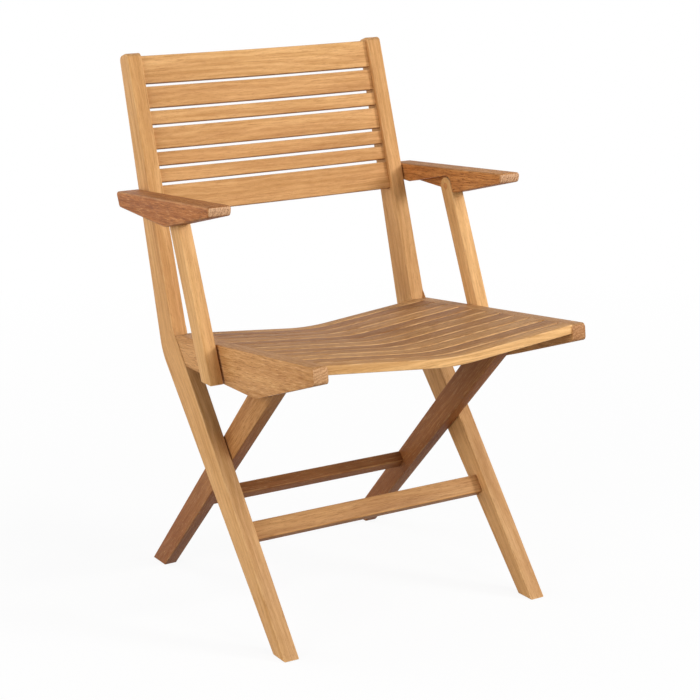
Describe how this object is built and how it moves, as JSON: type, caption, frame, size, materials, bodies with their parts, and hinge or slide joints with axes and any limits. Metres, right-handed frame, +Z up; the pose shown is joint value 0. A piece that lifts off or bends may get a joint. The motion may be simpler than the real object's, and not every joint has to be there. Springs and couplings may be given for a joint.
{
  "type": "folding armchair",
  "caption": "Folding wooden garden armchair with a dished slatted seat, slatted back, flat arms on slanting posts and crossed legs.",
  "frame": {"origin": "on the floor, under the middle of the opened chair's outer box", "axes": "+Z up, -Y towards the front of the seat, +X towards the right of the picture"},
  "size_m": [0.558, 0.618, 0.868],
  "materials": {
    "frame_teak": "oiled teak, straight fine grain",
    "arm_teak": "oiled teak, a little darker and redder",
    "seat_teak": "oiled teak, greyer brown",
    "under_teak": "oiled teak, darker under the seat",
    "plug_teak": "teak plugs over the pins",
    "steel": "plain steel hardware"
  },
  "bodies": {
    "main_frame": {"back_board_1": "frame_teak", "back_board_2": "frame_teak", "back_board_3": "frame_teak", "back_board_4": "frame_teak", "back_board_5": "frame_teak", "back_rail_bottom": "frame_teak", "back_rail_top": "frame_teak", "front_stretcher": "under_teak", "main_leg_left": "frame_teak", "main_leg_right": "frame_teak", "pivot_pins": "steel", "seat_hinge_tongues": "steel"},
    "rear_leg_frame": {"hook_rod": "steel", "rear_leg_left": "under_teak", "rear_leg_right": "under_teak", "rear_stretcher": "under_teak"},
    "seat": {"hinge_pins": "steel", "seat_rail_left": "frame_teak", "seat_rail_right": "frame_teak", "seat_slat_01": "seat_teak", "seat_slat_02": "seat_teak", "seat_slat_03": "seat_teak", "seat_slat_04": "seat_teak", "seat_slat_05": "seat_teak", "seat_slat_06": "seat_teak", "seat_slat_07": "seat_teak", "seat_slat_08": "seat_teak", "seat_slat_09": "seat_teak", "seat_slat_10": "seat_teak", "seat_slat_11": "seat_teak", "seat_slat_12": "seat_teak"},
    "arm_left": {"arm_left": "arm_teak", "arm_pin_left": "steel"},
    "post_left": {"post_bolt_left": "steel", "post_left": "frame_teak", "post_plug_left": "plug_teak"},
    "arm_right": {"arm_right": "arm_teak", "arm_pin_right": "steel"},
    "post_right": {"post_bolt_right": "steel", "post_plug_right": "plug_teak", "post_right": "frame_teak"}
  },
  "joints": [
    {"name": "seat_fold", "type": "hinge", "parent": "main_frame", "child": "seat", "pos_m": [0, 0.12746, 0.4255], "axis": [-1, 0, 0], "range_deg": [0, 100]},
    {"name": "rear_legs_fold", "type": "hinge", "parent": "main_frame", "child": "rear_leg_frame", "pos_m": [0, 0.02698, 0.25718], "axis": [-1, 0, 0], "range_deg": [0, 62]},
    {"name": "arm_left_fold", "type": "hinge", "parent": "main_frame", "child": "arm_left", "pos_m": [-0.26, 0.21395, 0.63786], "axis": [-1, 0, 0], "range_deg": [0, 100]},
    {"name": "post_left_fold", "type": "hinge", "parent": "arm_left", "child": "post_left", "pos_m": [-0.2522, 0.07495, 0.6324], "axis": [-1, 0, 0], "range_deg": [-100, 0]},
    {"name": "arm_right_fold", "type": "hinge", "parent": "main_frame", "child": "arm_right", "pos_m": [0.26, 0.21395, 0.63786], "axis": [-1, 0, 0], "range_deg": [0, 100]},
    {"name": "post_right_fold", "type": "hinge", "parent": "arm_right", "child": "post_right", "pos_m": [0.2522, 0.07495, 0.6324], "axis": [-1, 0, 0], "range_deg": [-100, 0]}
  ],
  "couplings": [
    {"joint": "rear_legs_fold", "follows": "seat_fold", "ratio": 0.62},
    {"joint": "arm_left_fold", "follows": "seat_fold", "ratio": 1},
    {"joint": "post_left_fold", "follows": "seat_fold", "ratio": -1},
    {"joint": "arm_right_fold", "follows": "seat_fold", "ratio": 1},
    {"joint": "post_right_fold", "follows": "seat_fold", "ratio": -1}
  ]
}
